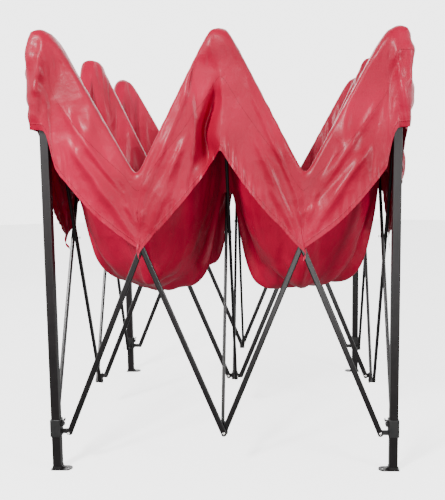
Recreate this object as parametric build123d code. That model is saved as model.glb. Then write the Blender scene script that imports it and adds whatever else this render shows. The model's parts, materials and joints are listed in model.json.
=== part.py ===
from build123d import *

# Folding pop-up canopy: a square frame of telescoping legs, four pairs of side
# scissors, four inner scissors that meet at a centre hub, and a fabric cover.
#
# Frame: +Z up, origin on the floor under the centre, front is -Y, +X to the right.
# Millimetres. The frame stands part folded: every scissor bar is THETA from vertical.
# The four sides are the same side turned about Z, so each piece is built for the
# front side or the front-left corner and turned in steps of 90 degrees.
import math
import os

# ---- driving dimensions -----------------------------------------------------
BAR_L = 1476.0        # pivot to pivot length of every scissor bar
THETA = 22.5          # bar angle from vertical as it stands, degrees
BAR_W = 20.0          # bar width, in the plane of its scissor
BAR_T = 12.0          # bar thickness
BAR_WALL = 1.0
B_LEG = 50.0          # leg axis to the side bars' pivot
B_MID = 22.0          # leg plane to the inner bar's pivot on a mid hub
B_CEN = B_LEG - B_MID  # centre axis to the pivots on a centre hub
RAISE = 22.0          # inner pivots stand this far above the side pivots
Z_SLIDE = 142.0       # height of the lower side pivots
LEG = 30.0            # outer leg tube, square
LEG_WALL = 1.2
LEG_Z0, LEG_Z1 = 14.0, 1537.0
INNER = 26.0          # inner leg tube, square
INNER_WALL = 1.2
INNER_Z1 = 1010.0
SLEEVE = 38.0         # slider body, square
SLEEVE_BORE = 31.0
CAP = 36.0            # top bracket body, square
LAYER_OUT = 16.5      # centre of the outer bar layer, outside the leg plane
LAYER_IN = 3.5        # centre of the inner bar layer
LAYER_X = 6.5         # inner scissor bars lie this far either side of their plane
PIN_R = 3.0
HOLE_R = 3.05         # running fit on the rivets
OPEN_R = 3.30         # looser hole where a bar closes the linkage
HEAD_R, HEAD_T = 4.8, 2.0
LUG_T = 4.0
LUG_R = 9.0

S = BAR_L * math.sin(math.radians(THETA))
H = BAR_L * math.cos(math.radians(THETA))
HALF = B_LEG + S      # centre to leg axis
Z_TOP = Z_SLIDE + H

OPEN_THETA = 68.0     # bar angle when fully open and latched
Z_LOCK = Z_TOP - BAR_L * math.cos(math.radians(OPEN_THETA)) + 38.0

SIDES = ["front", "right", "back", "left"]
CORNERS = ["front_left", "front_right", "back_right", "back_left"]

os.makedirs("parts", exist_ok=True)


def turn(shape, k):
    """Quarter turns about Z, counter-clockwise from above."""
    return Rot(0, 0, 90 * k) * shape if k else shape


def save(name, solids):
    group = Compound(children=list(solids)) if len(solids) > 1 else solids[0]
    export_step(group, f"parts/{name}.step")


def flat(shape):
    """One solid from a boolean result."""
    got = shape.solids()
    return got[0] if len(got) == 1 else shape


def block(x0, x1, y0, y1, z0, z1):
    return Pos((x0 + x1) / 2, (y0 + y1) / 2, (z0 + z1) / 2) * Box(x1 - x0, y1 - y0, z1 - z0)


def rod_x(r, x0, x1, y, z):
    return Pos((x0 + x1) / 2, y, z) * Rot(0, 90, 0) * Cylinder(r, x1 - x0)


def rod_y(r, y0, y1, x, z):
    return Pos(x, (y0 + y1) / 2, z) * Rot(90, 0, 0) * Cylinder(r, y1 - y0)


def square_tube(width, wall, z0, z1, corner=2.0):
    """Hollow square tube on the Z axis."""
    outer = RectangleRounded(width, width, corner)
    inner = RectangleRounded(width - 2 * wall, width - 2 * wall, max(corner - wall, 0.6))
    return Pos(0, 0, z0) * extrude(outer - inner, z1 - z0)


def head(r, t, at, axis):
    """Low domed rivet head, its flat side at `at`, rising along `axis` (+-x or +-y)."""
    d = Cylinder(r, t, align=(Align.CENTER, Align.CENTER, Align.MIN))
    d = fillet(d.edges().sort_by(Axis.Z)[-1], t * 0.6)
    spin = {"+x": Rot(0, 90, 0), "-x": Rot(0, -90, 0), "+y": Rot(-90, 0, 0), "-y": Rot(90, 0, 0)}[axis]
    return Pos(*at) * spin * d


def rivet_x(x0, x1, y, z):
    """Rivet along X, its heads' inner faces at x0 and x1."""
    return flat(rod_x(PIN_R, x0 - 0.5, x1 + 0.5, y, z)
                + head(HEAD_R, HEAD_T, (x1, y, z), "+x") + head(HEAD_R, HEAD_T, (x0, y, z), "-x"))


def rivet_y(y0, y1, x, z):
    """Rivet along Y, its heads' inner faces at y0 and y1."""
    return flat(rod_y(PIN_R, y0 - 0.5, y1 + 0.5, x, z)
                + head(HEAD_R, HEAD_T, (x, y1, z), "+y") + head(HEAD_R, HEAD_T, (x, y0, z), "-y"))


def bar(hole_a, hole_mid, hole_b):
    """A scissor bar along Z with its lower pivot at the origin, thin along X:
    a rounded flat tube and a rounded nylon plug in each end."""
    nose = 7.0
    section = RectangleRounded(BAR_T, BAR_W, 4.0)
    bore = RectangleRounded(BAR_T - 2 * BAR_WALL, BAR_W - 2 * BAR_WALL, 3.0)
    tube = Pos(0, 0, -nose) * extrude(section - bore, BAR_L + 2 * nose)
    plugs = []
    for z, way, r in ((0.0, 1, hole_a), (BAR_L, -1, hole_b)):
        core = RectangleRounded(BAR_T - 2 * BAR_WALL - 0.1, BAR_W - 2 * BAR_WALL - 0.1, 2.9)
        stem = extrude(core, 30.0 + nose)
        stem = Pos(0, 0, z - nose) * stem if way > 0 else Pos(0, 0, z - 30.0) * stem
        round_end = Pos(0, 0, z) * Rot(0, 90, 0) * Cylinder(11.0, BAR_T - 0.8)
        keep = block(-20, 20, -20, 20, z - 20, z - nose) if way > 0 else block(-20, 20, -20, 20, z + nose, z + 20)
        plug = stem + (round_end & keep)
        plugs.append(flat(plug - rod_x(r, -20, 20, 0, z)))
        tube = tube - rod_x(r, -20, 20, 0, z)
    tube = tube - rod_x(hole_mid, -20, 20, 0, BAR_L / 2)
    return [flat(tube)] + plugs


def lean(shape, angle_deg, at, thin):
    """Stands a bar at `at` and leans its top: thin 'x' leans toward +Y, thin 'y' toward +X."""
    if thin == "y":
        return Pos(*at) * Rot(0, angle_deg, 0) * Rot(0, 0, 90) * shape
    return Pos(*at) * Rot(-angle_deg, 0, 0) * shape


# ---- scissor bars of one side -------------------------------------------------
# Two bars cross in each half of a side. "_top" runs from the leg's top bracket
# down to the mid lower hub; "_low" runs from the slider up to the mid upper hub.
# Seen from outside, bars that fall to the right lie in the outer layer.
y_out, y_in = -HALF - LAYER_OUT, -HALF - LAYER_IN
HT = BAR_T / 2


def side_bars(k):
    out = {}
    for end, t in (("left", -1), ("right", 1)):
        y_top, y_low = (y_out, y_in) if t < 0 else (y_in, y_out)
        # lower pivot on the mid lower hub, top leans toward the leg
        top = [lean(p, t * THETA, (0, y_top, Z_SLIDE), "y")
               for p in bar(HOLE_R, HOLE_R, HOLE_R if leg_holds(k, t) else OPEN_R)]
        # lower pivot on the slider, top leans toward the middle
        low = [lean(p, -t * THETA, (t * S, y_low, Z_SLIDE), "y")
               for p in bar(HOLE_R if leg_holds(k, t) else OPEN_R, HOLE_R, OPEN_R)]
        cross = rivet_y(y_out - HT - 0.3, y_in + HT + 0.3, t * S / 2, Z_SLIDE + H / 2)
        out[end] = (top + [cross], low)
    return out


def leg_holds(k, t):
    """Front and back sides carry the legs and sliders; the others close the loop."""
    return k in (0, 2)


for k, side in enumerate(SIDES):
    made = side_bars(k)
    for end in ("left", "right"):
        top, low = made[end]
        save(f"side_bar_{side}_{end}_top", [turn(p, k) for p in top])
        save(f"side_bar_{side}_{end}_low", [turn(p, k) for p in low])

# ---- inner scissors: centre hub to mid hub -------------------------------------
Z_IN0, Z_IN1 = Z_SLIDE + RAISE, Z_TOP + RAISE
for k, side in enumerate(SIDES):
    # "_top" falls outward from the centre upper hub to the mid lower hub, at -X
    top = [lean(p, THETA, (-LAYER_X, -HALF + B_MID, Z_IN0), "x") for p in bar(HOLE_R, HOLE_R, HOLE_R)]
    cross = rivet_x(-LAYER_X - HT - 0.3, LAYER_X + HT + 0.3, -B_CEN - S / 2, (Z_IN0 + Z_IN1) / 2)
    # "_low" rises outward from the centre lower hub to the mid upper hub, at +X
    low = [lean(p, -THETA, (LAYER_X, -B_CEN, Z_IN0), "x")
           for p in bar(HOLE_R if k == 0 else OPEN_R, HOLE_R, HOLE_R)]
    save(f"inner_bar_{side}_top", [turn(p, k) for p in top + [cross]])
    save(f"inner_bar_{side}_low", [turn(p, k) for p in low])


# ---- hubs ---------------------------------------------------------------------
def lug(direction, y_face, along, z, thick_from, thick_to, r=LUG_R):
    """Lug plate reaching from `along[0]` to a rounded end about `along[1]`."""
    a0, a1 = along
    if direction == "x":      # plate reaches along X, its thickness along Y
        body = block(min(a0, a1), max(a0, a1), thick_from, thick_to, z - r, z + r)
        end = Pos(a1, (thick_from + thick_to) / 2, z) * Rot(90, 0, 0) * Cylinder(r, abs(thick_to - thick_from))
        hole = rod_y(HOLE_R, min(thick_from, thick_to) - 5, max(thick_from, thick_to) + 5, a1, z)
    else:                     # plate reaches along Y, its thickness along X
        body = block(thick_from, thick_to, min(a0, a1), max(a0, a1), z - r, z + r)
        end = Pos((thick_from + thick_to) / 2, a1, z) * Rot(0, 90, 0) * Cylinder(r, abs(thick_to - thick_from))
        hole = rod_x(HOLE_R, min(thick_from, thick_to) - 5, max(thick_from, thick_to) + 5, a1, z)
    return body + end - hole


def centre_hub(z, s):
    """Square core with a bore and four lugs; s is +1 when the lugs lie at +X of the front arm."""
    core = Pos(0, 0, z) * extrude(RectangleRounded(28, 28, 4), 15, both=True)
    for k in range(4):
        x0, x1 = (0.0, LUG_T) if s > 0 else (-LUG_T, 0.0)
        core = core + turn(lug("y", 0, (-12.0, -B_CEN), z, x0, x1), k)
    core = core - Pos(0, 0, z) * Cylinder(9.05, 60)
    rivets = []
    for k in range(4):
        if s > 0:
            r = rivet_x(-LAYER_X - HT - 0.3, LUG_T + 0.05, -B_CEN, z)
        else:
            r = rivet_x(-LUG_T - 0.05, LAYER_X + HT + 0.3, -B_CEN, z)
        rivets.append(turn(r, k))
    return [flat(core)] + rivets


save("centre_upper_hub", centre_hub(Z_IN1, 1))
save("centre_lower_hub", centre_hub(Z_IN0, -1))


def mid_hub(z, s):
    """Upright plate just inside the two side bars, with a lug reaching inward and
    upward of it for the inner bar. s is +1 when that lug lies at +X."""
    p0, p1 = -HALF + 3.5, -HALF + 7.5
    plate = block(-13, 13, p0, p1, z - 12, z + 33)
    plate = fillet(plate.edges().filter_by(Axis.Y), 5.0)
    plate = plate - rod_y(HOLE_R, p0 - 5, p1 + 5, 0, z)
    x0, x1 = (0.0, LUG_T) if s > 0 else (-LUG_T, 0.0)
    arm = lug("y", 0, (p0 + 1.0, -HALF + B_MID), z + RAISE, x0, x1)
    body = flat(plate + arm)
    side = rivet_y(y_out - HT - 0.3, p1 + 0.05, 0, z)
    if s > 0:
        inner = rivet_x(-LAYER_X - HT - 0.3, LUG_T + 0.05, -HALF + B_MID, z + RAISE)
    else:
        inner = rivet_x(-LUG_T - 0.05, LAYER_X + HT + 0.3, -HALF + B_MID, z + RAISE)
    return [body, side, inner]


for k, side in enumerate(SIDES):
    save(f"mid_lower_hub_{side}", [turn(p, k) for p in mid_hub(Z_SLIDE, 1)])
    save(f"mid_upper_hub_{side}", [turn(p, k) for p in mid_hub(Z_TOP, -1)])

# ---- corners --------------------------------------------------------------------


def corner_lugs(body, z, outer_first):
    """Adds the two lugs of a bracket or slider on the front-left leg. The lug along +X
    serves the front side's left end, the lug along +Y the left side's right end.
    outer_first: the front side's bar is in the outer layer here."""
    layer = {True: (-HALF - 10.0, -HALF - 6.0), False: (-HALF + 3.0, -HALF + 7.0)}
    y0, y1 = layer[outer_first]
    body = body + lug("x", 0, (-HALF + 15.9, -HALF + B_LEG), z, y0, y1)
    x0, x1 = layer[not outer_first]
    body = body + lug("y", 0, (-HALF + 15.9, -HALF + B_LEG), z, x0, x1)
    bars = {True: y_out, False: y_in}
    yb, xb = bars[outer_first], bars[not outer_first]
    r1 = rivet_y(yb - HT - 0.3, y1 + 0.05, -HALF + B_LEG, z)
    r2 = rivet_x(xb - HT - 0.3, x1 + 0.05, -HALF + B_LEG, z)
    return body, [r1, r2]


def at_leg(shape):
    return Pos(-HALF, -HALF, 0) * shape


for k, corner in enumerate(CORNERS):
    toe = 1 if corner.endswith("left") else -1
    cx, cy = [(-HALF, -HALF), (HALF, -HALF), (HALF, HALF), (-HALF, HALF)][k]
    # outer leg tube, with the hole that the latch's stud drops into when the frame is open
    tube = Pos(cx, cy, 0) * square_tube(LEG, LEG_WALL, LEG_Z0, LEG_Z1)
    tube = tube - rod_x(3.0, cx + min(0, toe * 20), cx + max(0, toe * 20), cy, Z_LOCK)
    save(f"leg_{corner}", [flat(tube)])

    # top bracket: closed cap round the leg's top with two lugs
    cap = extrude(RectangleRounded(CAP, CAP, 4), 62.0)
    cap = Pos(0, 0, 1540.2 - 62.0) * cap
    cap = fillet(cap.edges().group_by(Axis.Z)[-1], 2.0)
    cap = cap - block(-LEG / 2 - 0.1, LEG / 2 + 0.1, -LEG / 2 - 0.1, LEG / 2 + 0.1, 1400, LEG_Z1 + 0.1)
    body, rivets = corner_lugs(at_leg(cap), Z_TOP, True)
    body = body - at_leg(block(-LEG / 2 - 0.1, LEG / 2 + 0.1, -LEG / 2 - 0.1, LEG / 2 + 0.1, 1400, LEG_Z1 + 0.1))
    save(f"top_bracket_{corner}", [turn(flat(body), k)] + [turn(r, k) for r in rivets])

    # slider: sleeve on the leg with two lugs and a notched boss for the latch
    sl = Pos(0, 0, Z_SLIDE - 16.0) * extrude(RectangleRounded(SLEEVE, SLEEVE, 4), 64.0)
    sl = fillet(sl.edges().group_by(Axis.Z)[-1] + sl.edges().group_by(Axis.Z)[0], 1.5)
    body, rivets = corner_lugs(at_leg(sl), Z_SLIDE, False)
    body = turn(body, k)
    zl = Z_SLIDE + 30.0
    for dy in (-8.5, 5.5):
        ear = block(SLEEVE / 2 - 1, SLEEVE / 2 + 10, dy, dy + 3.0, zl - 9, zl + 5)
        ear = fillet(ear.edges().filter_by(Axis.Y).group_by(Axis.X)[-1], 3.5)
        ear = ear - rod_y(2.0, -20, 20, SLEEVE / 2 + 5, zl - 2)
        if toe < 0:
            ear = Rot(0, 0, 180) * ear
        body = body + Pos(cx, cy, 0) * ear
    body = body - Pos(cx, cy, 0) * (Pos(0, 0, 50) * extrude(RectangleRounded(SLEEVE_BORE, SLEEVE_BORE, 2.2), 400))
    # upright slot that lets the latch's stud swing out
    dock = block(10, 25, -2.6, 2.6, zl + 5.2, zl + 13.0)
    if toe < 0:
        dock = Rot(0, 0, 180) * dock
    body = body - Pos(cx, cy, 0) * dock
    save(f"slider_{corner}", [flat(body)] + [turn(r, k) for r in rivets])

    # latch: sprung lever with a locking stud and a finger hook, on its own pin
    arm = block(SLEEVE / 2 + 1.2, SLEEVE / 2 + 5.2, -5.0, 5.0, zl - 5, zl + 14)
    hook = block(SLEEVE / 2 + 1.2, SLEEVE / 2 + 14.0, -5.0, 5.0, zl + 10.5, zl + 14)
    tip = block(SLEEVE / 2 + 10.5, SLEEVE / 2 + 14.0, -5.0, 5.0, zl + 10.5, zl + 20)
    lever = arm + hook + tip
    knuckle = rod_y(4.0, -5.0, 5.0, SLEEVE / 2 + 5, zl - 2)
    stud = rod_x(2.2, SLEEVE / 2 - 3.2, SLEEVE / 2 + 2.0, 0, zl + 8)
    lever = lever + knuckle + stud
    lever = fillet(lever.edges().filter_by(Axis.Y).group_by(Axis.X)[-1], 1.2)
    pin = rod_y(1.95, -8.8, 8.8, SLEEVE / 2 + 5, zl - 2)
    lever = lever - rod_y(1.95, -8.8, 8.8, SLEEVE / 2 + 5, zl - 2)
    solids = [flat(lever), pin]
    if toe < 0:
        solids = [Rot(0, 0, 180) * p for p in solids]
    save(f"slider_latch_{corner}", [Pos(cx, cy, 0) * p for p in solids])

    # inner leg tube, sliding inside the outer leg
    inner = square_tube(INNER, INNER_WALL, 4.2, INNER_Z1, 2.0)
    save(f"inner_leg_{corner}", [Pos(cx, cy, 0) * inner])

    # foot: stamped plate with a rounded toe, a socket and a stake hole
    sole = block(-22, 34, -19, 19, 0, 4)
    sole = fillet(sole.edges().filter_by(Axis.Z).group_by(Axis.X)[0], 5.0)
    nose = Pos(34, 0, 2) * Cylinder(19, 4)
    foot = sole + nose - (Pos(38, 0, 2) * Cylinder(5.5, 10))
    socket = Pos(0, 0, 4) * extrude(RectangleRounded(33, 33, 3), 9.5)
    well = Pos(0, 0, 4) * extrude(RectangleRounded(INNER + 0.3, INNER + 0.3, 2.1), 20)
    gusset = extrude(Plane.XZ * Polygon((15, 3.9), (31, 3.9), (16, 13.5), align=None), 6, both=True)
    foot = foot + socket + gusset - well
    foot = foot - (Pos(38, 0, 2) * Cylinder(5.5, 40))
    if toe < 0:
        foot = Rot(0, 0, 180) * foot
    save(f"foot_{corner}", [flat(Pos(cx, cy, 0) * foot)])

# ---- peak post: fixed stub and domed cap that hold up the cover's peak ------------
post = Pos(0, 0, Z_IN1 - 60) * extrude(Circle(9.0) - Circle(7.8), 94)
knob = Pos(0, 0, Z_IN1 + 34) * Cylinder(11.5, 10, align=(Align.CENTER, Align.CENTER, Align.MIN))
knob = fillet(knob.edges().group_by(Axis.Z)[-1], 5.0)
save("peak_post", [post, knob])

# ---- cover: one closed sheet -------------------------------------------------------
# A roof that hangs in a bag in each quarter between the scissor peaks, with a skirt
# round the outside. Heights are piecewise linear on a grid, so every face is flat.
PEAK_Z = 1552.0
VALLEY = 602.0        # the edge's valley lies this far below the peaks
BAG = 0.533           # how much the two valleys' depths share at a quarter's middle
CENTRE_Z = 1593.0
SHEET = 2.2           # vertical thickness
RIM_IN, RIM_OUT = HALF + 34.0, HALF + 35.2
KNOTS = [0.0, 40.0, 300.0, 556.0, RIM_IN, RIM_OUT]
TRI = [0.0, 0.0, 1.0, 0.0, 0.0, 0.0]
HEM = [1160.0, 1130.0, 800.0, 1120.0, 1225.0, 1225.0]
xs = [-v for v in reversed(KNOTS)] + KNOTS[1:]
tri = list(reversed(TRI)) + TRI[1:]
hem = list(reversed(HEM)) + HEM[1:]
n = len(xs)
mid = n // 2


def top_z(i, j):
    if i == mid and j == mid:
        return CENTRE_Z
    return PEAK_Z - VALLEY * (tri[i] + tri[j] - BAG * tri[i] * tri[j])


def low_z(i, j):
    return top_z(i, j) - SHEET


def hem_z(i, j):
    edge_i, edge_j = i in (0, 1, n - 2, n - 1), j in (0, 1, n - 2, n - 1)
    if edge_i and edge_j:
        return hem[0]
    return hem[j] if edge_i else hem[i]


faces = []


def polygon(points):
    faces.append(Face(Wire.make_polygon(points, close=True)))


def pt(i, j, z):
    return (xs[i], xs[j], z)


def cell(c, height):
    """One grid cell: a flat quad where its corners lie in a plane, else two triangles."""
    p = [pt(a, b, height(a, b)) for a, b in c]
    if abs(p[0][2] + p[2][2] - p[1][2] - p[3][2]) < 1e-9:
        polygon(p)
    else:
        polygon([p[0], p[1], p[2]])
        polygon([p[0], p[2], p[3]])


for i in range(n - 1):
    for j in range(n - 1):
        c = [(i, j), (i + 1, j), (i + 1, j + 1), (i, j + 1)]
        # the diagonal follows the quarter's own diagonal, so the bag is symmetric
        if (xs[i] + xs[i + 1]) * (xs[j] + xs[j + 1]) < 0:
            c = c[1:] + c[:1]
        cell(c, top_z)
        cell(c, hem_z if i in (0, n - 2) or j in (0, n - 2) else low_z)
for e, inset in ((0, 1), (n - 1, n - 2)):
    run = range(n)
    polygon([pt(e, j, top_z(e, j)) for j in run] + [pt(e, j, hem_z(e, j)) for j in reversed(run)])
    polygon([pt(j, e, top_z(j, e)) for j in run] + [pt(j, e, hem_z(j, e)) for j in reversed(run)])
    run = range(1, n - 1)
    polygon([pt(inset, j, low_z(inset, j)) for j in run] + [pt(inset, j, hem_z(inset, j)) for j in reversed(run)])
    polygon([pt(j, inset, low_z(j, inset)) for j in run] + [pt(j, inset, hem_z(j, inset)) for j in reversed(run)])
cover = Solid(Shell(faces))
save("cover", [cover])
print("span", round(S, 2), "rise", round(H, 2), "leg axis", round(HALF, 2), "top pivot", round(Z_TOP, 2))
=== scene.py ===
"""Looks for the folded pop up canopy: powder-coated frame, nickel rivets and a red coated-polyester cover."""
import json
import math

import bpy
import numpy as np
from mathutils import Matrix, Vector

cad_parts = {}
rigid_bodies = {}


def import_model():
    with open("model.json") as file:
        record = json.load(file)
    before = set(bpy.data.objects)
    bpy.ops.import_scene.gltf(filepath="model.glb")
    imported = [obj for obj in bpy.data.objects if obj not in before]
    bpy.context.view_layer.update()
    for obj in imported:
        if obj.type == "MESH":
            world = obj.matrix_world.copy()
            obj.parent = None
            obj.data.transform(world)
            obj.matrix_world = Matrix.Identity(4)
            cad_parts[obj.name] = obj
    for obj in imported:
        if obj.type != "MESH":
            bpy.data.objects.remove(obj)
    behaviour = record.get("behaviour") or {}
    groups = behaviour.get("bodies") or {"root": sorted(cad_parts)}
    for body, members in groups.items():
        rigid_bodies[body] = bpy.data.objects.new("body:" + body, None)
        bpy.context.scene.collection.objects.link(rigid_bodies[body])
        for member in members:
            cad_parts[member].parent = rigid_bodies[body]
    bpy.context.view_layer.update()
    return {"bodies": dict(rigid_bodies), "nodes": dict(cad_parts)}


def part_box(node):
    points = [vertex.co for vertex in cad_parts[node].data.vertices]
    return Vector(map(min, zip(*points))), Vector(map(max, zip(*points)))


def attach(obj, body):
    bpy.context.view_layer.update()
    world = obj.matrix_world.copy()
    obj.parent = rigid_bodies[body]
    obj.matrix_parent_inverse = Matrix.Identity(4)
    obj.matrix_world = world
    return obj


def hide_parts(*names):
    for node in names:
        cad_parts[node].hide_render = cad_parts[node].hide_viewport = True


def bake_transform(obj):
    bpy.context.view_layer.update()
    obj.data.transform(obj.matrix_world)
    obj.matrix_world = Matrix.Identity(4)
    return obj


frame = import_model()
rng = np.random.default_rng(11)

# ---------------------------------------------------------------- main sizes, metres
leg_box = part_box("leg_front_right")
HALF = (leg_box[0][0] + leg_box[1][0]) / 2          # leg axis from the middle
CROSS_L, CROSS_Z = 0.2824, 0.8238                   # side crossing: lateral place, height
RIDGE_R = 0.3104
Z_PEAK = 1.556
SIDES = ["front", "right", "back", "left"]
CORNERS = ["front_left", "front_right", "back_right", "back_left"]


# ================================================================ materials
def new_mat(name):
    m = bpy.data.materials.new(name)
    m.use_nodes = True
    nt = m.node_tree
    nt.nodes.clear()
    out = nt.nodes.new("ShaderNodeOutputMaterial")
    bsdf = nt.nodes.new("ShaderNodeBsdfPrincipled")
    nt.links.new(bsdf.outputs[0], out.inputs[0])
    return m, nt, bsdf


def node(nt, kind, **values):
    n = nt.nodes.new(kind)
    for k, v in values.items():
        if k in n.inputs:
            n.inputs[k].default_value = v
        else:
            setattr(n, k, v)
    return n


def link(nt, a, b):
    nt.links.new(a, b)


def ramp(nt, fac, stops):
    r = nt.nodes.new("ShaderNodeValToRGB")
    r.color_ramp.elements[0].position, r.color_ramp.elements[0].color = stops[0][0], (*stops[0][1], 1)
    r.color_ramp.elements[1].position, r.color_ramp.elements[1].color = stops[-1][0], (*stops[-1][1], 1)
    for p, c in stops[1:-1]:
        e = r.color_ramp.elements.new(p)
        e.color = (*c, 1)
    link(nt, fac, r.inputs[0])
    return r.outputs[0]


def spread(nt, fac, a, b):
    """fac 0..1 to a..b, for a roughness."""
    m = nt.nodes.new("ShaderNodeMapRange")
    m.inputs[3].default_value, m.inputs[4].default_value = a, b
    link(nt, fac, m.inputs[0])
    return m.outputs[0]


def bump(nt, height, strength, distance, normal=None):
    b = nt.nodes.new("ShaderNodeBump")
    b.inputs["Strength"].default_value = strength
    b.inputs["Distance"].default_value = distance
    link(nt, height, b.inputs["Height"])
    if normal is not None:
        link(nt, normal, b.inputs["Normal"])
    return b.outputs[0]


def coords(nt):
    return nt.nodes.new("ShaderNodeTexCoord").outputs["Object"]


def powder(name, dark, light, rough, peel=1.0):
    m, nt, bsdf = new_mat(name)
    c = coords(nt)
    big = node(nt, "ShaderNodeTexNoise", Scale=9.0, Detail=5.0, Roughness=0.6)
    link(nt, c, big.inputs["Vector"])
    fine = node(nt, "ShaderNodeTexNoise", Scale=900.0, Detail=2.0)
    link(nt, c, fine.inputs["Vector"])
    mid = node(nt, "ShaderNodeTexNoise", Scale=160.0, Detail=6.0, Roughness=0.7)
    link(nt, c, mid.inputs["Vector"])
    col = ramp(nt, big.outputs["Fac"], [(0.35, dark), (0.65, light)])
    # rubbed, slightly paler patches where bars slide on each other
    rub = ramp(nt, mid.outputs["Fac"], [(0.60, (0, 0, 0)), (0.78, (1, 1, 1))])
    mix = nt.nodes.new("ShaderNodeMix")
    mix.data_type = "RGBA"
    link(nt, rub, mix.inputs["Factor"])
    link(nt, col, mix.inputs["A"])
    mix.inputs["B"].default_value = (*[min(1, v * 2.3) for v in light], 1)
    link(nt, mix.outputs["Result"], bsdf.inputs["Base Color"])
    link(nt, spread(nt, mid.outputs["Fac"], rough - 0.08, rough + 0.10), bsdf.inputs["Roughness"])
    n1 = bump(nt, fine.outputs["Fac"], 0.25 * peel, 0.0004)
    link(nt, bump(nt, mid.outputs["Fac"], 0.12 * peel, 0.0008, n1), bsdf.inputs["Normal"])
    bsdf.inputs["Metallic"].default_value = 0.25
    bsdf.inputs["Specular IOR Level"].default_value = 0.32
    bsdf.inputs["Coat Weight"].default_value = 0.06
    bsdf.inputs["Coat Roughness"].default_value = 0.22
    return m


def moulded(name, col_a, col_b, rough):
    m, nt, bsdf = new_mat(name)
    c = coords(nt)
    grain = node(nt, "ShaderNodeTexVoronoi", Scale=700.0)
    link(nt, c, grain.inputs["Vector"])
    soft = node(nt, "ShaderNodeTexNoise", Scale=30.0, Detail=4.0)
    link(nt, c, soft.inputs["Vector"])
    link(nt, ramp(nt, soft.outputs["Fac"], [(0.3, col_a), (0.7, col_b)]), bsdf.inputs["Base Color"])
    link(nt, spread(nt, soft.outputs["Fac"], rough - 0.06, rough + 0.08), bsdf.inputs["Roughness"])
    link(nt, bump(nt, grain.outputs["Distance"], 0.2, 0.0004), bsdf.inputs["Normal"])
    bsdf.inputs["IOR"].default_value = 1.49
    return m


def metal(name, col_a, col_b, rough):
    m, nt, bsdf = new_mat(name)
    c = coords(nt)
    scr = node(nt, "ShaderNodeTexNoise", Scale=420.0, Detail=5.0, Roughness=0.7)
    link(nt, c, scr.inputs["Vector"])
    tone = node(nt, "ShaderNodeTexNoise", Scale=60.0, Detail=3.0)
    link(nt, c, tone.inputs["Vector"])
    link(nt, ramp(nt, tone.outputs["Fac"], [(0.3, col_a), (0.7, col_b)]), bsdf.inputs["Base Color"])
    link(nt, spread(nt, scr.outputs["Fac"], rough - 0.08, rough + 0.12), bsdf.inputs["Roughness"])
    link(nt, bump(nt, scr.outputs["Fac"], 0.12, 0.0003), bsdf.inputs["Normal"])
    bsdf.inputs["Metallic"].default_value = 1.0
    return m


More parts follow.
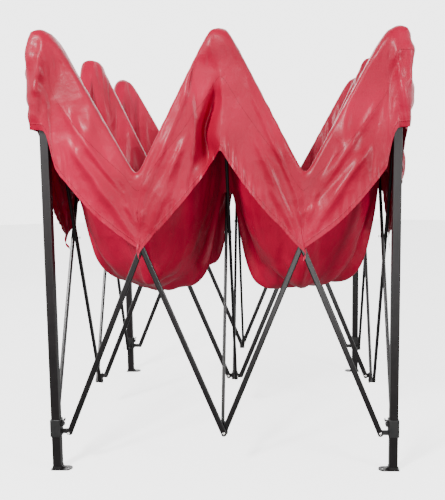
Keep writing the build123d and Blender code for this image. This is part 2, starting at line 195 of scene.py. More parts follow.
def fabric(name):
    """Red polyester with a thin glossy coating: woven threads, fine crumple, stitched hem, faint handling marks."""
    m, nt, bsdf = new_mat(name)
    c = coords(nt)
    uv = nt.nodes.new("ShaderNodeUVMap")
    uv.uv_map = "cloth"
    sep = nt.nodes.new("ShaderNodeSeparateXYZ")
    link(nt, uv.outputs[0], sep.inputs[0])

    big = node(nt, "ShaderNodeTexNoise", Scale=3.2, Detail=3.0, Roughness=0.55)
    link(nt, c, big.inputs["Vector"])
    crumple = node(nt, "ShaderNodeTexNoise", Scale=34.0, Detail=8.0, Roughness=0.62, Distortion=0.6)
    link(nt, c, crumple.inputs["Vector"])
    col = ramp(nt, big.outputs["Fac"], [(0.30, (0.230, 0.0000, 0.0150)), (0.52, (0.310, 0.0001, 0.0230)), (0.74, (0.400, 0.0003, 0.0340))])

    def maths(op, a, b=None):
        n = nt.nodes.new("ShaderNodeMath")
        n.operation = op
        for i, v in enumerate((a, b)):
            if v is None:
                continue
            if isinstance(v, (int, float)):
                n.inputs[i].default_value = v
            else:
                link(nt, v, n.inputs[i])
        return n.outputs[0]

    # threads, both ways, 0.9 mm apart
    wu = maths("SINE", maths("MULTIPLY", sep.outputs[0], 2 * math.pi / 0.0009))
    wv = maths("SINE", maths("MULTIPLY", sep.outputs[1], 2 * math.pi / 0.0009))
    weave = maths("MULTIPLY", wu, wv)
    # hem: v is the distance above the hem, gathers run up it, two stitch rows hold it
    near = nt.nodes.new("ShaderNodeMapRange")
    near.interpolation_type = "SMOOTHSTEP"
    near.inputs[1].default_value, near.inputs[2].default_value = 0.0, 0.055
    near.inputs[3].default_value, near.inputs[4].default_value = 1.0, 0.0
    link(nt, sep.outputs[1], near.inputs[0])
    wob = node(nt, "ShaderNodeTexNoise", Scale=22.0, Detail=3.0)
    link(nt, c, wob.inputs["Vector"])
    phase = maths("ADD", maths("MULTIPLY", sep.outputs[0], 2 * math.pi / 0.037), maths("MULTIPLY", wob.outputs["Fac"], 7.0))
    gather = maths("MULTIPLY", maths("SINE", phase), near.outputs[0])
    fold = nt.nodes.new("ShaderNodeMapRange")
    fold.interpolation_type = "SMOOTHSTEP"
    fold.inputs[1].default_value, fold.inputs[2].default_value = 0.020, 0.0235
    fold.inputs[3].default_value, fold.inputs[4].default_value = 1.0, 0.0
    link(nt, sep.outputs[1], fold.inputs[0])

    def stitch(at):
        off = maths("ABSOLUTE", maths("SUBTRACT", sep.outputs[1], at))
        row = maths("LESS_THAN", off, 0.0011)
        dash = maths("LESS_THAN", maths("FRACT", maths("MULTIPLY", sep.outputs[0], 1 / 0.0065)), 0.62)
        return maths("MULTIPLY", row, dash)

    stitches = maths("MAXIMUM", stitch(0.018), stitch(0.2505))
    mix = nt.nodes.new("ShaderNodeMix")
    mix.data_type = "RGBA"
    link(nt, stitches, mix.inputs["Factor"])
    link(nt, col, mix.inputs["A"])
    mix.inputs["B"].default_value = (0.09, 0.0004, 0.004, 1)
    link(nt, mix.outputs["Result"], bsdf.inputs["Base Color"])

    link(nt, spread(nt, crumple.outputs["Fac"], 0.33, 0.46), bsdf.inputs["Roughness"])
    n = bump(nt, weave, 0.10, 0.0002)
    n = bump(nt, crumple.outputs["Fac"], 0.20, 0.010, n)
    warp = nt.nodes.new("ShaderNodeMix")
    warp.data_type = "VECTOR"
    warp.inputs["Factor"].default_value = 0.06
    soft = node(nt, "ShaderNodeTexNoise", Scale=7.0, Detail=2.0)
    link(nt, c, soft.inputs["Vector"])
    link(nt, c, warp.inputs["A"])
    link(nt, soft.outputs["Color"], warp.inputs["B"])
    for sc_, st_, di_ in ((8.5, 0.20, 0.030), (21.0, 0.13, 0.014)):
        cell = node(nt, "ShaderNodeTexVoronoi", Scale=sc_)
        link(nt, warp.outputs["Result"], cell.inputs["Vector"])
        n = bump(nt, cell.outputs["Distance"], st_, di_, n)
    n = bump(nt, gather, 0.20, 0.0040, n)
    n = bump(nt, fold.outputs[0], 0.5, 0.0012, n)
    n = bump(nt, stitches, 0.5, 0.0008, n)
    link(nt, n, bsdf.inputs["Normal"])
    bsdf.inputs["Coat Weight"].default_value = 0.06
    bsdf.inputs["Coat Roughness"].default_value = 0.24
    bsdf.inputs["Specular IOR Level"].default_value = 0.14
    bsdf.inputs["Sheen Weight"].default_value = 0.02
    bsdf.inputs["Sheen Roughness"].default_value = 0.45
    bsdf.inputs["Sheen Tint"].default_value = (1.0, 0.55, 0.60, 1)
    bsdf.inputs["IOR"].default_value = 1.48
    return m


BAR = powder("powder_coat_bar", (0.0026, 0.0019, 0.0021), (0.0060, 0.0045, 0.0049), 0.30)
LEG = powder("powder_coat_leg", (0.0042, 0.0030, 0.0034), (0.0085, 0.0063, 0.0069), 0.31)
INNER = powder("powder_coat_inner_leg", (0.0040, 0.0029, 0.0032), (0.0075, 0.0056, 0.0061), 0.28)
FOOT = powder("powder_coat_foot", (0.0060, 0.0050, 0.0053), (0.0110, 0.0092, 0.0098), 0.42, 1.4)
HUB = powder("powder_coat_hub", (0.0100, 0.0086, 0.0092), (0.0220, 0.0195, 0.0205), 0.33)
PLASTIC = moulded("moulded_nylon_black", (0.0020, 0.0017, 0.0019), (0.0045, 0.0040, 0.0042), 0.38)
LATCH = moulded("moulded_latch", (0.0050, 0.0044, 0.0047), (0.0105, 0.0094, 0.0098), 0.36)
POST = metal("zinc_post", (0.50, 0.49, 0.47), (0.62, 0.61, 0.60), 0.34)
NICKEL = metal("nickel_rivet", (0.62, 0.60, 0.57), (0.80, 0.78, 0.75), 0.22)
RED = fabric("coated_polyester_red")

for name, ob in frame["nodes"].items():
    if name.startswith(("side_bar", "inner_bar")):
        mat = BAR
    elif name.startswith("inner_leg"):
        mat = INNER
    elif name.startswith("leg_"):
        mat = LEG
    elif name.startswith("foot"):
        mat = FOOT
    elif name.startswith(("mid_", "centre_")):
        mat = HUB
    elif name.startswith("slider_latch"):
        mat = LATCH
    elif name.startswith(("slider", "top_bracket")):
        mat = PLASTIC
    elif name.startswith("peak_post"):
        mat = POST
    else:
        mat = RED
    if ob.material_slots:
        for s in ob.material_slots:
            s.material = mat
    else:
        ob.data.materials.append(mat)


# ================================================================ rivet heads
def mesh_object(name, verts, faces, mat, smooth=True):
    me = bpy.data.meshes.new(name)
    me.from_pydata([tuple(map(float, v)) for v in verts], [], [tuple(int(i) for i in f) for f in faces])
    me.materials.append(mat)
    me.update()
    if smooth:
        me.polygons.foreach_set("use_smooth", [True] * len(me.polygons))
    ob = bpy.data.objects.new(name, me)
    bpy.context.scene.collection.objects.link(ob)
    return ob


HEAD = [(0.00505, 0.0), (0.0052, 0.0006), (0.0050, 0.0013), (0.0043, 0.0020), (0.0034, 0.00245),
        (0.0022, 0.00235), (0.0017, 0.0019), (0.0, 0.0018)]     # domed head with its small setting dimple


def heads(name, spots, body):
    """Domed rivet heads, each (centre of its base, outward direction)."""
    verts, faces = [], []
    n = 20
    for at, out in spots:
        out = Vector(out).normalized()
        side = out.orthogonal().normalized()
        up = out.cross(side)
        base = len(verts)
        for r, h in HEAD[:-1]:
            for i in range(n):
                a = 2 * math.pi * i / n
                verts.append(Vector(at) + out * h + (side * math.cos(a) + up * math.sin(a)) * r)
        verts.append(Vector(at) + out * HEAD[-1][1])
        tip = len(verts) - 1
        for k in range(len(HEAD) - 2):
            for i in range(n):
                j = (i + 1) % n
                faces.append((base + k * n + i, base + k * n + j, base + (k + 1) * n + j, base + (k + 1) * n + i))
        k = len(HEAD) - 2
        for i in range(n):
            faces.append((base + k * n + i, base + k * n + (i + 1) % n, tip))
        faces.append(tuple(base + i for i in reversed(range(n))))
    ob = mesh_object(name, verts, faces, NICKEL)
    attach(ob, body)
    return ob


def turn(k, x, y, z=0.0):
    """The front side's point, turned to side k."""
    for _ in range(k):
        x, y = -y, x
    return (x, y, z)


Y_OUT_FACE, Y_IN_FACE = -HALF - 0.0228, -HALF + 0.0028   # the bolts' head bases, outside and inside
Z_LOW, Z_TOP = 0.142, 1.50565
RAISE = 0.022
B_LEG, B_MID, B_CEN = 0.050, 0.022, 0.028
for k, side in enumerate(SIDES):
    for end, s in (("left", -1), ("right", 1)):
        heads(f"rivets_cross_{side}_{end}",
              [(turn(k, s * CROSS_L, Y_OUT_FACE + 0.0001, CROSS_Z), turn(k, 0, -1)),
               (turn(k, s * CROSS_L, -HALF + 0.0098, CROSS_Z), turn(k, 0, 1))],
              f"side_bar_{side}_{end}_top")
    zc = (Z_LOW + Z_TOP) / 2 + RAISE
    heads(f"rivets_inner_{side}",
          [(turn(k, -0.0128, -RIDGE_R, zc), turn(k, -1, 0)), (turn(k, 0.0128, -RIDGE_R, zc), turn(k, 1, 0))],
          f"inner_bar_{side}_top")
    heads(f"rivets_mid_lower_{side}",
          [(turn(k, 0, Y_OUT_FACE, Z_LOW), turn(k, 0, -1)),
           (turn(k, -0.0128, -HALF + B_MID, Z_LOW + RAISE), turn(k, -1, 0))], f"mid_lower_hub_{side}")
    heads(f"rivets_mid_upper_{side}",
          [(turn(k, 0.0128, -HALF + B_MID, Z_TOP + RAISE), turn(k, 1, 0))], f"mid_upper_hub_{side}")
    corner = CORNERS[k]
    heads(f"rivets_slider_{corner}",
          [(turn(k, -HALF + B_LEG, Y_OUT_FACE, Z_LOW), turn(k, 0, -1)),
           (turn(k, -HALF - 0.0228, -HALF + B_LEG, Z_LOW), turn(k, -1, 0))], f"slider_{corner}")
heads("rivets_centre_lower",
      [(turn(k, 0.0128, -B_CEN, Z_LOW + RAISE), turn(k, 1, 0)) for k in range(4)], "centre_lower_hub")


# ================================================================ the cover
# Heights are first laid out as a smooth hanging sheet, then the cloth solver lets it
# hang, buckle and gather between the places where the frame holds it.
IN0, IN1, RIM = 0.022, 0.585, 0.640     # ridge half-width, inner side of the rim, outer edge of the rim
FACE = 0.6450                           # outer face of the skirt
VAL = 0.485                             # the valley's place along a half side
D_FOLD, D_RIDGE, BAG = 0.478, 0.560, 0.630
M_IN, M_RIM, ROWS = 50, 4, 15


def smooth(x):
    x = np.clip(x, 0, 1)
    return x * x * (3 - 2 * x)


def tri(p):
    t = np.where(p < VAL, p / VAL, (1 - p) / (1 - VAL))
    e = 0.035
    v = 1 - (np.sqrt((1 - t) ** 2 + e * e) - e) / (math.sqrt(1 + e * e) - e)
    v = np.clip(v, 0, 1)
    s = 0.07                            # the sheet rolls over the peaks instead of breaking at them
    return (np.sqrt(v * v + s * s) - s) / (math.sqrt(1 + s * s) - s)


tau = np.linspace(0, 1, M_IN + 1)
inner = IN0 + (IN1 - IN0) * (0.40 * tau + 0.60 * (1 - np.cos(math.pi * tau)) / 2)
half_knots = np.concatenate([[0, 0.011], inner, IN1 + (RIM - IN1) * np.arange(1, M_RIM + 1) / M_RIM])
knots = np.concatenate([-half_knots[::-1], half_knots[1:]])
N = len(knots)
MID = N // 2


def lane(a):
    return np.clip((np.abs(a) - IN0) / (IN1 - IN0), 0, 1)


def roof(X, Y):
    """Position of the roof's point (X, Y) before the solver."""
    p, q = lane(X), lane(Y)
    vp, vq = tri(p), tri(q)

    def edge(r):
        return (D_RIDGE * (1 - r) + D_FOLD * r) * (1 - 0.75 * (4 * r * (1 - r)) ** 0.8)

    def full(r):
        return np.clip(1 - np.abs(2 * r - 1) ** 4, 0, 1) ** 0.60

    drop = vp * edge(q) + vq * edge(p) + BAG * full(p) * full(q)
    z = Z_PEAK - drop
    r = np.hypot(X, Y)
    z = z + 0.030 * np.exp(-(r / 0.045) ** 2)
    for A, v in ((X, vq), (Y, vp)):
        over = np.clip((np.abs(A) - IN1) / (RIM - IN1), 0, 1)
        z = z + 0.006 * np.sin(math.pi * over) * (1 - 0.5 * v)
    z = z + 0.011 * (np.exp(-(X / 0.030) ** 2) * (np.abs(Y) > IN1 - 0.03) + np.exp(-(Y / 0.030) ** 2) * (np.abs(X) > IN1 - 0.03))
    z = z + 0.008 * smooth((np.abs(X) - 0.575) / 0.035) * smooth((np.abs(Y) - 0.575) / 0.035)
    # the rim narrows at the valley
    sx = np.abs(X) + 0.020 * vq * smooth((np.abs(X) - 0.42) / 0.165) * (1 - 1.3 * np.clip((np.abs(X) - IN1) / (RIM - IN1), 0, 1))
    sy = np.abs(Y) + 0.020 * vp * smooth((np.abs(Y) - 0.42) / 0.165) * (1 - 1.3 * np.clip((np.abs(Y) - IN1) / (RIM - IN1), 0, 1))
    return np.stack([np.sign(X) * sx, np.sign(Y) * sy, z], -1)


def hem_height(L):
    a = np.abs(L)
    uc = CROSS_L
    legside = 0.768 + 0.349 * np.clip((a - uc) / (0.585 - uc), 0, 1) ** 1.22
    midside = 0.768 + 0.396 * np.clip((uc - a) / uc, 0, 1) ** 1.02
    z = np.where(a > uc, legside, midside)
    step = smooth((a - 0.578) / 0.022)
    return z * (1 - step) + 1.236 * step


GX, GY = np.meshgrid(knots, knots, indexing="ij")
roof_co = roof(GX, GY)
verts = list(roof_co.reshape(-1, 3))
index = np.arange(N * N).reshape(N, N)
faces, loops_uv = [], []

# cloth coordinates, metres, for the weave: run of the surface along each axis through the middle of a quarter
flat1 = np.concatenate([[0], np.cumsum(np.linalg.norm(np.diff(roof(knots, np.full(N, 0.45)), axis=0), axis=1))])
for i in range(N - 1):
    for j in range(N - 1):
        faces.append((index[i, j], index[i + 1, j], index[i + 1, j + 1], index[i, j + 1]))
        loops_uv.append([(flat1[i], flat1[j] + 2), (flat1[i + 1], flat1[j] + 2), (flat1[i + 1], flat1[j + 1] + 2), (flat1[i], flat1[j + 1] + 2)])

# skirt: columns go round the rim, side k seen from outside from its left end to its right end
ring = []
for k in range(4):
    for c in range(N - 1):
        a, b = c, 0
        ring.append([(a, b), (N - 1, c), (N - 1 - c, N - 1), (0, N - 1 - c)][k])
skirt = np.zeros((len(ring), ROWS + 1), int)
drop_share = np.linspace(0, 1, ROWS + 1)
place = []
for c, (i, j) in enumerate(ring):
    k, m = divmod(c, N - 1)
    L = knots[m]
    top = np.array(turn(-k % 4, roof_co[i, j, 0], roof_co[i, j, 1], roof_co[i, j, 2]))
    skirt[c, 0] = index[i, j]
    a = abs(L)
    zh = float(hem_height(np.array([L]))[0])
    # hem columns gather to the crossing
    pull = math.copysign(1, L) * (CROSS_L - a) * math.exp(-((a - 0.300) / 0.085) ** 2) * 0.80 if a > 1e-9 else 0.0
    for r in range(1, ROWS + 1):
        w = drop_share[r]
        z = top[2] + (zh - top[2]) * w
        x = L + pull * smooth(np.array(w ** 0.8)) if a < 0.60 else L
        y = -FACE
        # sleeve over the leg top
        cornerish = float(smooth(np.array((a - 0.590) / 0.014)))
        y -= 0.019 * cornerish * min(1, w * 4) * (0.75 + 0.25 * math.sin(9 * z))
        y += 0.004 * math.exp(-((a - 0.581) / 0.007) ** 2)
        if a > 0.6399:
            x = math.copysign(FACE + 0.017 * min(1, w * 4), L)
        # pocket beside the middle hub
        d = (L + 0.044) / 0.032
        y += 0.066 * math.exp(-abs(d) ** 2.6) * float(smooth(np.array((1.50 - z) / 0.10))) * float(smooth(np.array((z - 1.05) / 0.12)))
        # broad swell between the seam and the hem
        if a < 0.585:
            y -= 0.010 * math.sin(math.pi * w) * math.sin(math.pi * min(1, a / 0.585)) ** 0.5
        verts.append(np.array(turn(k, x, y, z)))
        skirt[c, r] = len(verts) - 1
        place.append((k, L, w))
verts = np.array(verts)
C = len(ring)
run = np.concatenate([[0], np.cumsum([np.linalg.norm(verts[skirt[(c + 1) % C, 6]] - verts[skirt[c, 6]]) for c in range(C)])])
for c in range(C):
    d = (c + 1) % C
    above_c = [float(np.sum(np.linalg.norm(np.diff(verts[skirt[c, r:]], axis=0), axis=1))) if r < ROWS else 0.0 for r in range(ROWS + 1)]
    above_d = [float(np.sum(np.linalg.norm(np.diff(verts[skirt[d, r:]], axis=0), axis=1))) if r < ROWS else 0.0 for r in range(ROWS + 1)]
    for r in range(ROWS):
        faces.append((skirt[c, r], skirt[c, r + 1], skirt[d, r + 1], skirt[d, r]))
        loops_uv.append([(run[c], above_c[r]), (run[c], above_c[r + 1]), (run[c + 1], above_d[r + 1]), (run[c + 1], above_d[r])])

nv = len(verts)
is_roof = np.arange(nv) < N * N
side_of = np.full(nv, -1)
lat_of = np.zeros(nv)
share_of = np.zeros(nv)
for n, (k, L, w) in enumerate(place):
    side_of[N * N + n], lat_of[N * N + n], share_of[N * N + n] = k, L, w

# what the frame holds: peaks, ridge lines, rim and the pinches at the crossings
AX, AY = np.abs(GX).ravel(), np.abs(GY).ravel()
hold = np.zeros(nv)
rr = hold[:N * N]
rr[(np.minimum(AX, AY) < 0.012)] = 1.0
rr[(np.maximum(AX, AY) > RIM - 0.001)] = 1.0
rr[(np.maximum(AX, AY) > IN1 + 0.010) & (np.maximum(AX, AY) <= RIM - 0.001)] = 0.7
rr[(AX > IN1 - 0.001) & (AY > IN1 - 0.001)] = 1.0
hold[:N * N] = rr
for n in range(N * N, nv):
    a, w = abs(lat_of[n]), share_of[n]
    if abs(a - 0.300) < 0.022 and w > 0.97:
        hold[n] = 1.0
    elif a > 0.6399:
        hold[n] = 0.55
    elif a < 0.030 and w > 0.9:
        hold[n] = 0.35

# creases drawn out of the crossings and down from the leg tops
jig = rng.normal(0, 1, (4, 2, 12))


def crease(pt, a, b, width, height, skew=0.0):
    """Height of a sharp fold along segment a-b at points pt (lateral, z)."""
    a, b = np.array(a), np.array(b)
    d = b - a
    ln = np.linalg.norm(d)
    d = d / ln
    t = (pt - a) @ d
    s = (pt - a) @ np.array([-d[1], d[0]])
    along = smooth(t / (0.25 * ln)) * smooth((ln - t) / (0.25 * ln))
    u = s / width
    return height * along * np.exp(-np.abs(u) ** 1.25) * (1 + skew * np.tanh(u))


def folds(k, L, z, w):
    """Outward push of the skirt's points on side k."""
    out = np.zeros(len(L))
    for s in (-1, 1):
        j = jig[k, 0 if s < 0 else 1]
        a = L * s                       # lateral, positive on this half
        pt = np.stack([a, z], -1)
        on = (a > -0.02)
        f = crease(pt, (0.575, 1.36 + 0.01 * j[0]), (0.325, 0.985), 0.011, 0.011, 0.4)
        f += crease(pt, (0.545, 1.20 + 0.01 * j[1]), (0.300, 0.865), 0.014, 0.013, -0.3)
        f += crease(pt, (0.455, 1.06), (0.290, 0.835), 0.010, 0.008 + 0.001 * j[2])
        f -= crease(pt, (0.50, 1.18), (0.310, 0.93), 0.012, 0.006)
        f += crease(pt, (0.07, 1.44), (0.292, 0.935), 0.010, 0.009, 0.5)
        f += crease(pt, (0.10, 1.24 + 0.01 * j[3]), (0.272, 0.86), 0.013, 0.010)
        f += crease(pt, (0.16, 1.05), (0.275, 0.84), 0.009, 0.007)
        f -= crease(pt, (0.13, 1.20), (0.270, 0.90), 0.010, 0.005)
        f += crease(pt, (0.335, 1.03), (0.300, 0.90), 0.009, 0.009, 0.5)
        f += crease(pt, (0.262, 1.01), (0.285, 0.88), 0.008, 0.007)
        f += crease(pt, (0.345, 0.965), (0.250, 0.925), 0.008, 0.006)
        # gathers at the hem, stronger on the middle hub's side
        m = np.clip((w - 0.72) / 0.28, 0, 1) ** 1.4
        f += m * np.where(a < CROSS_L, 0.0065, 0.0038) * np.sin(2 * math.pi * a / 0.031 + 2.2 * j[4] + 3 * np.sin(14 * a))
        # loose cloth round the leg top
        sl = smooth((a - 0.588) / 0.012)
        f += sl * (0.0035 * np.sin(30 * z + 150 * a + 2 * j[5]) + 0.0030 * np.sin(88 * z - 90 * a + j[7]) * np.sin(19 * z + j[6]))
        for n0 in range(3):
            f += sl * crease(pt, (0.592 + 0.016 * n0, 1.52 - 0.07 * n0), (0.640 - 0.012 * n0, 1.30 - 0.02 * n0 + 0.02 * j[8 + n0]), 0.009, 0.0045, 0.4)
        out += np.where(on, f, 0)
    return out


sk = np.arange(N * N, nv)
start = verts.copy()
for k in range(4):
    on = sk[side_of[sk] == k]
    f = folds(k, lat_of[on], start[on, 2], share_of[on])
    nrm = np.array(turn(k, 0, -1))
    gain = 0.55
    start[on] += np.outer(f * gain, nrm)

# bag crumples, before the solver: slow folds fanning down from the peaks
P = start[:N * N]
p, q = lane(GX).ravel(), lane(GY).ravel()
quad = (GX.ravel() > 0) * 1 + (GY.ravel() > 0) * 2
depth = (np.sin(math.pi * p) * np.sin(math.pi * q)) ** 0.7
for g in range(4):
    m = quad == g
    ph = rng.uniform(0, 6.28, 8)
    ang = np.arctan2(q[m] - 0.5, p[m] - 0.5)
    rad = np.hypot(q[m] - 0.5, p[m] - 0.5)
    wob = 0.010 * np.sin(5 * ang + ph[0] + 5 * rad) + 0.004 * np.sin(11 * ang + ph[1] + 9 * rad) * smooth(rad * 3)
    wob += 0.010 * np.sin(9 * p[m] + 6 * q[m] + ph[2]) + 0.007 * np.sin(17 * q[m] - 11 * p[m] + ph[3])
    P[m, 2] += wob * depth[m]
    P[m, 0] += 0.010 * depth[m] * np.sin(12 * q[m] + ph[4])
    P[m, 1] += 0.010 * depth[m] * np.sin(12 * p[m] + ph[5])
start[:N * N] = P


def solve(co, frames=34):
    me = bpy.data.meshes.new("canopy_sim")
    me.from_pydata([tuple(map(float, v)) for v in co], [], [tuple(int(i) for i in f) for f in faces])
    me.update()
    ob = bpy.data.objects.new("canopy_sim", me)
    bpy.context.scene.collection.objects.link(ob)
    vg = ob.vertex_groups.new(name="hold")
    for w in np.unique(hold[hold > 0]):
        vg.add([int(i) for i in np.nonzero(hold == w)[0]], float(w), "REPLACE")
    md = ob.modifiers.new("cloth", "CLOTH")
    s = md.settings
    s.quality = 6
    s.time_scale = 0.9
    s.mass = 0.06
    s.air_damping = 2.5
    s.tension_stiffness = 22
    s.compression_stiffness = 14
    s.shear_stiffness = 6
    s.bending_stiffness = 0.35
    s.tension_damping = s.compression_damping = s.shear_damping = 8
    s.bending_damping = 1.0
    s.vertex_group_mass = "hold"
    s.pin_stiffness = 6.0
    s.shrink_min = -0.045
    md.collision_settings.use_collision = False
    md.collision_settings.use_self_collision = False
    sc = bpy.context.scene
    sc.frame_start, sc.frame_end = 1, frames
    md.point_cache.frame_start, md.point_cache.frame_end = 1, frames
    for f in range(1, frames + 1):
        sc.frame_set(f)
    dg = bpy.context.evaluated_depsgraph_get()
    ev = ob.evaluated_get(dg)
    out = np.empty(len(co) * 3, np.float32)
    ev.data.vertices.foreach_get("co", out)
    sc.frame_set(1)
    bpy.data.objects.remove(ob)
    return out.reshape(-1, 3).astype(float)


co = solve(start)
moved = co - start
far = np.linalg.norm(moved, axis=1, keepdims=True)
CAP_MOVE = 0.055
co = start + moved * np.minimum(1, CAP_MOVE / np.maximum(far, 1e-9))

# clear of the bars: the skirt stays outside them, the roof inside, the bags beside the ridges
for k in range(4):
    on = sk[side_of[sk] == k]
    back = np.array([turn(-k % 4, *co[i]) for i in on])
    L, z = np.abs(lat_of[on]), back[:, 2]
    f = folds(k, lat_of[on], z, share_of[on])
    back[:, 1] -= 0.35 * f
    # beside the middle hub the skirt may sink between the two bars that fall from it
    arm = (Z_TOP - z) * math.tan(math.radians(22.5))
    near_mid = np.where(lat_of[on] < 0, smooth((L - 0.001) / 0.010) * smooth((0.110 - L) / 0.030), 0) * smooth((1.485 - z) / 0.03)
    between = smooth((arm - 0.032 - L) / 0.016) * smooth((z - 1.0) / 0.05)
    limit = -HALF - 0.0262 + near_mid * (0.0085 + 0.056 * between)
    back[:, 1] = np.minimum(back[:, 1], limit)
    co[on] = np.array([turn(k, *v) for v in back])
R = co[:N * N]
for g in range(4):
    m = np.nonzero(quad == g)[0]
    pq = np.stack([p[m], q[m]], -1)
    push = np.zeros(len(m))
    for n0 in range(16):
        c0 = rng.uniform(0.12, 0.88, 2)
        an = rng.uniform(0, math.pi)
        hl = rng.uniform(0.12, 0.30)
        dv = np.array([math.cos(an), math.sin(an)]) * hl
        push += crease(pq, c0 - dv, c0 + dv, rng.uniform(0.022, 0.045), rng.choice([-1, 1]) * rng.uniform(0.006, 0.015), rng.uniform(-0.6, 0.6))
    lean_x, lean_y = (p[m] - 0.5) * np.sign(GX.ravel()[m]), (q[m] - 0.5) * np.sign(GY.ravel()[m])
    out = np.stack([1.6 * lean_x, 1.6 * lean_y, -0.7 * np.ones(len(m))], -1)
    out /= np.linalg.norm(out, axis=1, keepdims=True)
    R[m] += out * (push * np.clip(depth[m] * 1.6, 0, 1))[:, None]
for ax, A in ((0, GX.ravel()), (1, GY.ravel())):
    o = np.abs(A)
    inside = (o > IN0 - 0.001) & (o < 0.30)
    R[inside, ax] = np.sign(A[inside]) * np.maximum(np.abs(R[inside, ax]), 0.0195)
    outer_in = (o > 0.30) & (o < IN1 + 0.001)
    other = np.abs((GY if ax == 0 else GX).ravel())
    at_leg = other > IN1
    R[outer_in & ~at_leg, ax] = np.sign(A[outer_in & ~at_leg]) * np.minimum(np.abs(R[outer_in & ~at_leg, ax]), 0.605)
co[:N * N] = R
co[:, 2] = np.minimum(co[:, 2], 1.592)

# ---------------------------------------------------------------- one smooth sheet, then its sewn parts
me = bpy.data.meshes.new("canopy_sheet")
me.from_pydata([tuple(map(float, v)) for v in co], [], [tuple(int(i) for i in f) for f in faces])
uvl = me.uv_layers.new(name="cloth")
uvl.data.foreach_set("uv", np.array(loops_uv, np.float32).ravel())


def group_of(n):
    """The sewn part that face n belongs to, from where it lies in the cut cloth."""
    f = faces[n]
    if n < (N - 1) * (N - 1):
        x = float(np.mean([GX.ravel()[i] for i in f]))
        y = float(np.mean([GY.ravel()[i] for i in f]))
        ax, ay = abs(x), abs(y)
        if ax > IN1 and ay > IN1:
            k = {(-1, -1): 0, (1, -1): 1, (1, 1): 2, (-1, 1): 3}[(int(np.sign(x)), int(np.sign(y)))]
            return ("corner", k)
        if max(ax, ay) > 0.560 and min(ax, ay) < 0.036:
            return ("mid", side_from(x, y))
        if max(ax, ay) < 0.045:
            return ("centre", 0)
        dx, dy = HALF - ax, HALF - ay
        best = min(dx, dy, ax, ay)
        if best == dy:
            return ("outer", 0 if y < 0 else 2, half_of(0 if y < 0 else 2, x))
        if best == dx:
            return ("outer", 1 if x > 0 else 3, half_of(1 if x > 0 else 3, y))
        if best == ax:
            return ("ridge", 0 if y < 0 else 2)
        return ("ridge", 1 if x > 0 else 3)
    i = f[1]
    k = int(side_of[i])
    L = float(np.mean([lat_of[v] for v in f[1:3]])) if side_of[f[2]] == k else RIM
    if abs(L) > IN1:
        right = L > 0
        return ("corner", (k + 1) % 4 if right else k)
    if -0.036 < L < 0.036:
        return ("mid", k)
    return ("outer", k, "left" if L < 0 else "right")


def side_from(x, y):
    if abs(y) > abs(x):
        return 0 if y < 0 else 2
    return 1 if x > 0 else 3


def half_of(k, t):
    """left or right half of side k seen from outside, from the coordinate along it."""
    lateral = {0: t, 1: t, 2: -t, 3: -t}[k]
    return "left" if lateral < 0 else "right"


keys = []
tag = me.attributes.new("part", "INT", "FACE")
labels = np.zeros(len(faces), np.int32)
for n in range(len(faces)):
    g = group_of(n)
    if g not in keys:
        keys.append(g)
    labels[n] = keys.index(g)
tag.data.foreach_set("value", labels)
whole = bpy.data.objects.new("canopy_whole", me)
bpy.context.scene.collection.objects.link(whole)
sub = whole.modifiers.new("sub", "SUBSURF")
sub.levels = sub.render_levels = 1
bpy.context.view_layer.update()
dg = bpy.context.evaluated_depsgraph_get()
dense = bpy.data.meshes.new_from_object(whole.evaluated_get(dg))
bpy.data.objects.remove(whole)

nV, nF = len(dense.vertices), len(dense.polygons)
dco = np.empty(nV * 3, np.float32); dense.vertices.foreach_get("co", dco); dco = dco.reshape(-1, 3)
for k in range(4):
    back = np.array([[-c1[0] if k == 2 else (c1[1] if k == 1 else (-c1[1] if k == 3 else c1[0])),
                      -c1[1] if k == 2 else (-c1[0] if k == 1 else (c1[0] if k == 3 else c1[1])), c1[2]] for c1 in dco])
    on = np.nonzero((back[:, 1] < -HALF - 0.020) & (np.abs(back[:, 0]) < 0.655))[0]
    L, z = back[on, 0], back[on, 2]
    top = Z_PEAK - D_FOLD * tri(lane(L))
    w = np.clip((top - z) / np.maximum(top - hem_height(L), 0.05), 0, 1)
    f = 0.75 * folds(k, L, z, w) * smooth(w * 6)
    y_new = np.minimum(back[on, 1] - f, np.minimum(back[on, 1] + 0.001, -HALF - 0.0262))
    near = back[on, 1] > -HALF - 0.024        # the pocket beside the middle hub keeps its depth
    y_new = np.where(near, back[on, 1], y_new)
    shift = y_new - back[on, 1]
    nrm = np.array(turn(k, 0, 1))
    dco[on] += np.outer(shift, nrm).astype(np.float32)
dense.vertices.foreach_set("co", dco.ravel())
dense.update()
dnl = np.array([v.vector[:] for v in dense.vertex_normals], np.float32)
lv = np.empty(nF * 4, np.int32); dense.loops.foreach_get("vertex_index", lv); lv = lv.reshape(-1, 4)
duv = np.empty(nF * 8, np.float32); dense.uv_layers["cloth"].data.foreach_get("uv", duv); duv = duv.reshape(-1, 4, 2)
dpart = np.empty(nF, np.int32); dense.attributes["part"].data.foreach_get("value", dpart)


def part_object(name, label):
    f = np.nonzero(dpart == label)[0]
    used, inv = np.unique(lv[f], return_inverse=True)
    m = bpy.data.meshes.new(name)
    m.from_pydata([tuple(map(float, v)) for v in dco[used]], [], [tuple(map(int, t)) for t in inv.reshape(-1, 4)])
    u = m.uv_layers.new(name="cloth")
    u.data.foreach_set("uv", duv[f].ravel())
    m.materials.append(RED)
    m.polygons.foreach_set("use_smooth", [True] * len(m.polygons))
    m.normals_split_custom_set_from_vertices([tuple(map(float, n)) for n in dnl[used]])
    ob = bpy.data.objects.new(name, m)
    bpy.context.scene.collection.objects.link(ob)
    area = sum(p.area for p in m.polygons)
    return ob, area


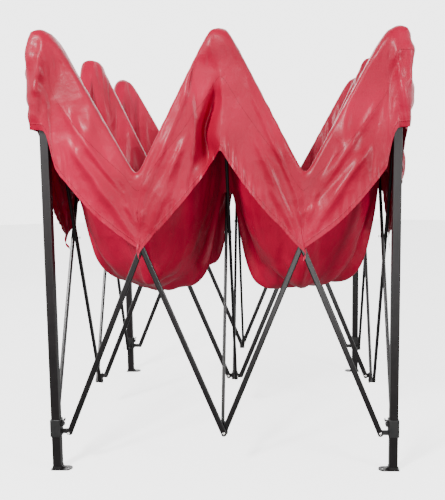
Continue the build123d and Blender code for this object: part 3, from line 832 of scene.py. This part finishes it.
FLAT = {"outer": (1.10, 0.62), "ridge": (1.20, 0.60), "corner": (0.26, 0.40), "mid": (0.18, 0.46), "centre": (0.15, 0.15)}
areas = {}
first = True
for label, g in enumerate(keys):
    kind, k = g[0], g[1]
    if kind == "outer":
        side, half = SIDES[k], g[2]
        name = f"canopy_{side}_{half}"
        ob, area = part_object(name, label)
        s = -1 if half == "left" else 1
        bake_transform(ob)
    elif kind == "ridge":
        side = SIDES[k]
        name = f"canopy_ridge_{side}"
        ob, area = part_object(name, label)
        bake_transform(ob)
    elif kind == "corner":
        name = f"canopy_sleeve_{CORNERS[k]}"
        ob, area = part_object(name, label)
        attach(ob, f"leg_{CORNERS[k]}")
    elif kind == "mid":
        name = f"canopy_peak_{SIDES[k]}"
        ob, area = part_object(name, label)
        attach(ob, f"mid_upper_hub_{SIDES[k]}")
    else:
        name = "canopy_peak_centre"
        ob, area = part_object(name, label)
        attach(ob, "root" if "root" in frame["bodies"] else "centre_upper_hub")
    areas[name] = round(area, 4)
    if first:
        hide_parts("cover")
        first = False
    w, l = FLAT[kind]
print("cloth areas", areas)


# ================================================================ floor, light, camera
fl = bpy.data.meshes.new("floor")
n = 40
fl.from_pydata([(x, y, 0.0) for x in (-14, 14) for y in (-14, 14)], [], [(0, 2, 3, 1)])
floor = bpy.data.objects.new("floor", fl)
bpy.context.scene.collection.objects.link(floor)
fm, nt, bsdf = new_mat("pale_floor")
no = node(nt, "ShaderNodeTexNoise", Scale=2.0, Detail=3.0)
link(nt, coords(nt), no.inputs["Vector"])
link(nt, ramp(nt, no.outputs["Fac"], [(0.3, (0.86, 0.86, 0.86)), (0.7, (0.90, 0.90, 0.90))]), bsdf.inputs["Base Color"])
bsdf.inputs["Roughness"].default_value = 0.85
bsdf.inputs["Emission Color"].default_value = (1, 1, 1, 1)
bsdf.inputs["Emission Strength"].default_value = 2.5
fl.materials.append(fm)
floor.visible_diffuse = floor.visible_glossy = False

world = bpy.data.worlds.new("studio")
world.use_nodes = True
bg = world.node_tree.nodes["Background"]
bg.inputs[0].default_value = (1.0, 1.0, 1.0, 1)
bg.inputs[1].default_value = 0.47
bpy.context.scene.world = world


def area_light(name, at, to, size, power, size_y=None):
    d = bpy.data.lights.new(name, "AREA")
    d.energy = power
    d.size = size
    if size_y:
        d.shape = "RECTANGLE"
        d.size_y = size_y
    ob = bpy.data.objects.new(name, d)
    bpy.context.scene.collection.objects.link(ob)
    ob.location = at
    ob.rotation_euler = (Vector(to) - Vector(at)).to_track_quat("-Z", "Y").to_euler()
    return ob


bd = bpy.data.meshes.new("backdrop")
n, rad, tall = 64, 13.0, 14.0
wall = [(rad * math.sin(2 * math.pi * i / n), rad * math.cos(2 * math.pi * i / n), z) for z in (-0.2, tall) for i in range(n)]
bd.from_pydata(wall, [], [(i, (i + 1) % n, n + (i + 1) % n, n + i) for i in range(n)])
bd.polygons.foreach_set("use_smooth", [True] * n)
backdrop = bpy.data.objects.new("backdrop", bd)
bpy.context.scene.collection.objects.link(backdrop)
bm_, bnt, bb = new_mat("backdrop_glow")
bb.inputs["Base Color"].default_value = (0.88, 0.88, 0.88, 1)
bb.inputs["Roughness"].default_value = 0.9
bb.inputs["Emission Color"].default_value = (1, 1, 1, 1)
bb.inputs["Emission Strength"].default_value = 3.4
bd.materials.append(bm_)
backdrop.visible_diffuse = False                     # it is looked at and mirrored, the lamps do the lighting

area_light("key", (-1.9, -3.4, 3.0), (0, 0, 0.9), 0.62, 270)
area_light("fill", (3.2, -2.6, 1.9), (0, 0, 0.8), 0.6, 90)
area_light("low", (0.3, -3.9, 0.42), (0, 0, 0.85), 1.2, 42)
area_light("top", (0.4, 0.4, 3.8), (0, 0, 0.8), 1.6, 45)
area_light("rim", (-1.5, 3.6, 2.6), (0, 0, 1.0), 1.6, 30)

cam_at = (0.2020, -2.9679, 1.0748)
yaw, pitch, roll = (math.radians(v) for v in (1.283, -6.055, -0.395))
fwd = Vector((-math.sin(yaw) * math.cos(pitch), math.cos(yaw) * math.cos(pitch), math.sin(pitch)))
right = Vector((math.cos(yaw), math.sin(yaw), 0))
up = right.cross(fwd)
r2 = right * math.cos(roll) + up * math.sin(roll)
u2 = -right * math.sin(roll) + up * math.cos(roll)
cd = bpy.data.cameras.new("camera")
cam = bpy.data.objects.new("camera", cd)
bpy.context.scene.collection.objects.link(cam)
m = Matrix.Identity(4)
for i in range(3):
    m[i][0], m[i][1], m[i][2], m[i][3] = r2[i], u2[i], -fwd[i], cam_at[i]
cam.matrix_world = m
cd.sensor_width = 36.0
cd.lens = 669.4 * 36.0 / 500.0
cd.shift_x = -41.3 / 500.0
cd.shift_y = -4.9 / 500.0
cd.clip_end = 100
bpy.context.scene.camera = cam
